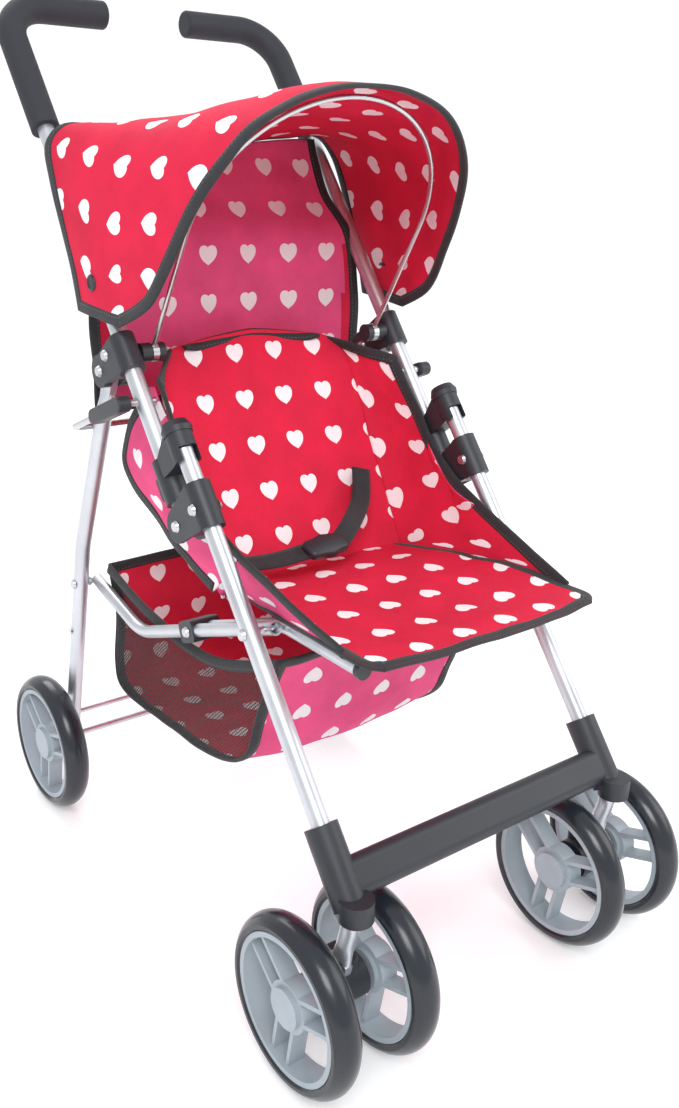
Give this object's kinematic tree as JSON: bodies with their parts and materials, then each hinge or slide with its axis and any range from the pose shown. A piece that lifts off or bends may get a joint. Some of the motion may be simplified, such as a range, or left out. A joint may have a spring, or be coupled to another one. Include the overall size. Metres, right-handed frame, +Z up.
{
  "type": "doll stroller",
  "caption": "Folding doll stroller with twin front wheels, sling seat, folding hood, two curved foam handles and a basket under the seat",
  "frame": {"origin": "on the floor under the middle of the whole stroller", "axes": "+X is the left side for whoever pushes it, +Y is towards the pusher, +Z is up; the doll faces -Y"},
  "size_m": [0.261, 0.41, 0.5365],
  "materials": {
    "tube": "satin",
    "steel": "satin",
    "plastic": "moulded",
    "grip": "closed foam",
    "rim": "moulded",
    "tyre": "glossy",
    "cloth_red": "woven, printed with hearts",
    "cloth_pink": "woven, printed with hearts",
    "webbing": "woven webbing"
  },
  "bodies": {
    "front_frame": {"front_leg_left": "tube", "front_leg_right": "tube", "front_hub_left": "plastic", "front_hub_right": "plastic", "front_axles": "steel", "front_crossbar": "plastic", "lower_clamp_left": "plastic", "lower_clamp_right": "plastic", "front_rivets": "steel", "basket": "cloth_red"},
    "handle_frame": {"handle_tube_left": "tube", "handle_tube_right": "tube", "grip_left": "grip", "grip_right": "grip", "upper_bracket_left": "plastic", "upper_bracket_right": "plastic", "handle_rivets": "steel", "hood_pivots": "plastic", "hood_canopy": "cloth_red", "back_panel": "cloth_pink", "seat_back": "cloth_red", "side_wing_left": "cloth_red", "side_wing_right": "cloth_red"},
    "rear_frame": {"rear_leg_upper_left": "tube", "rear_leg_upper_right": "tube", "rear_leg_lower_left": "tube", "rear_leg_lower_right": "tube", "rear_axle": "steel", "rear_cross_rod": "steel", "rear_fasteners": "steel"},
    "seat_frame": {"side_link_left": "tube", "side_link_right": "tube", "seat_tube_left": "tube", "seat_tube_right": "tube", "seat_tube_plugs": "plastic", "seat_brackets": "plastic", "seat_rivets": "steel", "seat_pan": "cloth_red", "lap_belt": "webbing", "belt_buckle": "plastic"},
    "lock_bar": {"lock_bar": "steel", "lock_bar_clips": "plastic"},
    "hood_bow": {"hood_bow": "steel"},
    "slider_lock_left": {"slider_lock_left": "plastic"},
    "slider_lock_right": {"slider_lock_right": "plastic"},
    "wheel_front_left_outer": {"rim_front_left_outer": "rim", "tyre_front_left_outer": "tyre"},
    "wheel_front_left_inner": {"rim_front_left_inner": "rim", "tyre_front_left_inner": "tyre"},
    "wheel_front_right_outer": {"rim_front_right_outer": "rim", "tyre_front_right_outer": "tyre"},
    "wheel_front_right_inner": {"rim_front_right_inner": "rim", "tyre_front_right_inner": "tyre"},
    "wheel_rear_left": {"rim_rear_left": "rim", "tyre_rear_left": "tyre"},
    "wheel_rear_right": {"rim_rear_right": "rim", "tyre_rear_right": "tyre"}
  },
  "joints": [
    {"name": "fold", "type": "hinge", "parent": "front_frame", "child": "handle_frame", "pos_m": [0, -0.01636, 0.2569], "axis": [-1, 0, 0], "range_deg": [0, 145], "deforming": ["seat_pan", "seat_back", "side_wing_left", "side_wing_right", "basket", "lap_belt", "belt_buckle", "back_panel"]},
    {"name": "rear_leg_swing", "type": "hinge", "parent": "handle_frame", "child": "rear_frame", "pos_m": [0, 0.06905, 0.32723], "axis": [-1, 0, 0], "range_deg": [-99, 0]},
    {"name": "seat_frame_swing", "type": "hinge", "parent": "front_frame", "child": "seat_frame", "pos_m": [0, -0.07828, 0.215], "axis": [-1, 0, 0], "range_deg": [0, 91]},
    {"name": "lock_bar_swing", "type": "hinge", "parent": "handle_frame", "child": "lock_bar", "pos_m": [0, 0.02982, 0.316], "axis": [-1, 0, 0], "range_deg": [-61, 0]},
    {"name": "hood_swing", "type": "hinge", "parent": "handle_frame", "child": "hood_bow", "pos_m": [0, 0.04829, 0.33964], "axis": [-1, 0, 0], "range_deg": [0, 55], "deforming": ["hood_canopy"]},
    {"name": "slider_lock_left_slide", "type": "slide", "parent": "handle_frame", "child": "slider_lock_left", "axis": [0, 0.6157, 0.788], "range_m": [0, 0.024]},
    {"name": "slider_lock_right_slide", "type": "slide", "parent": "handle_frame", "child": "slider_lock_right", "axis": [0, 0.6157, 0.788], "range_m": [0, 0.024]},
    {"name": "wheel_front_left_outer_spin", "type": "hinge", "parent": "front_frame", "child": "wheel_front_left_outer", "pos_m": [0.122, -0.157, 0.048], "axis": [1, 0, 0], "continuous": true},
    {"name": "wheel_front_left_inner_spin", "type": "hinge", "parent": "front_frame", "child": "wheel_front_left_inner", "pos_m": [0.072, -0.157, 0.048], "axis": [1, 0, 0], "continuous": true},
    {"name": "wheel_front_right_outer_spin", "type": "hinge", "parent": "front_frame", "child": "wheel_front_right_outer", "pos_m": [-0.122, -0.157, 0.048], "axis": [1, 0, 0], "continuous": true},
    {"name": "wheel_front_right_inner_spin", "type": "hinge", "parent": "front_frame", "child": "wheel_front_right_inner", "pos_m": [-0.072, -0.157, 0.048], "axis": [1, 0, 0], "continuous": true},
    {"name": "wheel_rear_left_spin", "type": "hinge", "parent": "rear_frame", "child": "wheel_rear_left", "pos_m": [0.113, 0.157, 0.048], "axis": [1, 0, 0], "continuous": true},
    {"name": "wheel_rear_right_spin", "type": "hinge", "parent": "rear_frame", "child": "wheel_rear_right", "pos_m": [-0.113, 0.157, 0.048], "axis": [1, 0, 0], "continuous": true}
  ],
  "couplings": [
    {"joint": "rear_leg_swing", "follows": "fold", "ratio": -0.6786},
    {"joint": "seat_frame_swing", "follows": "fold", "ratio": 0.6228},
    {"joint": "lock_bar_swing", "follows": "fold", "ratio": -0.4138}
  ]
}
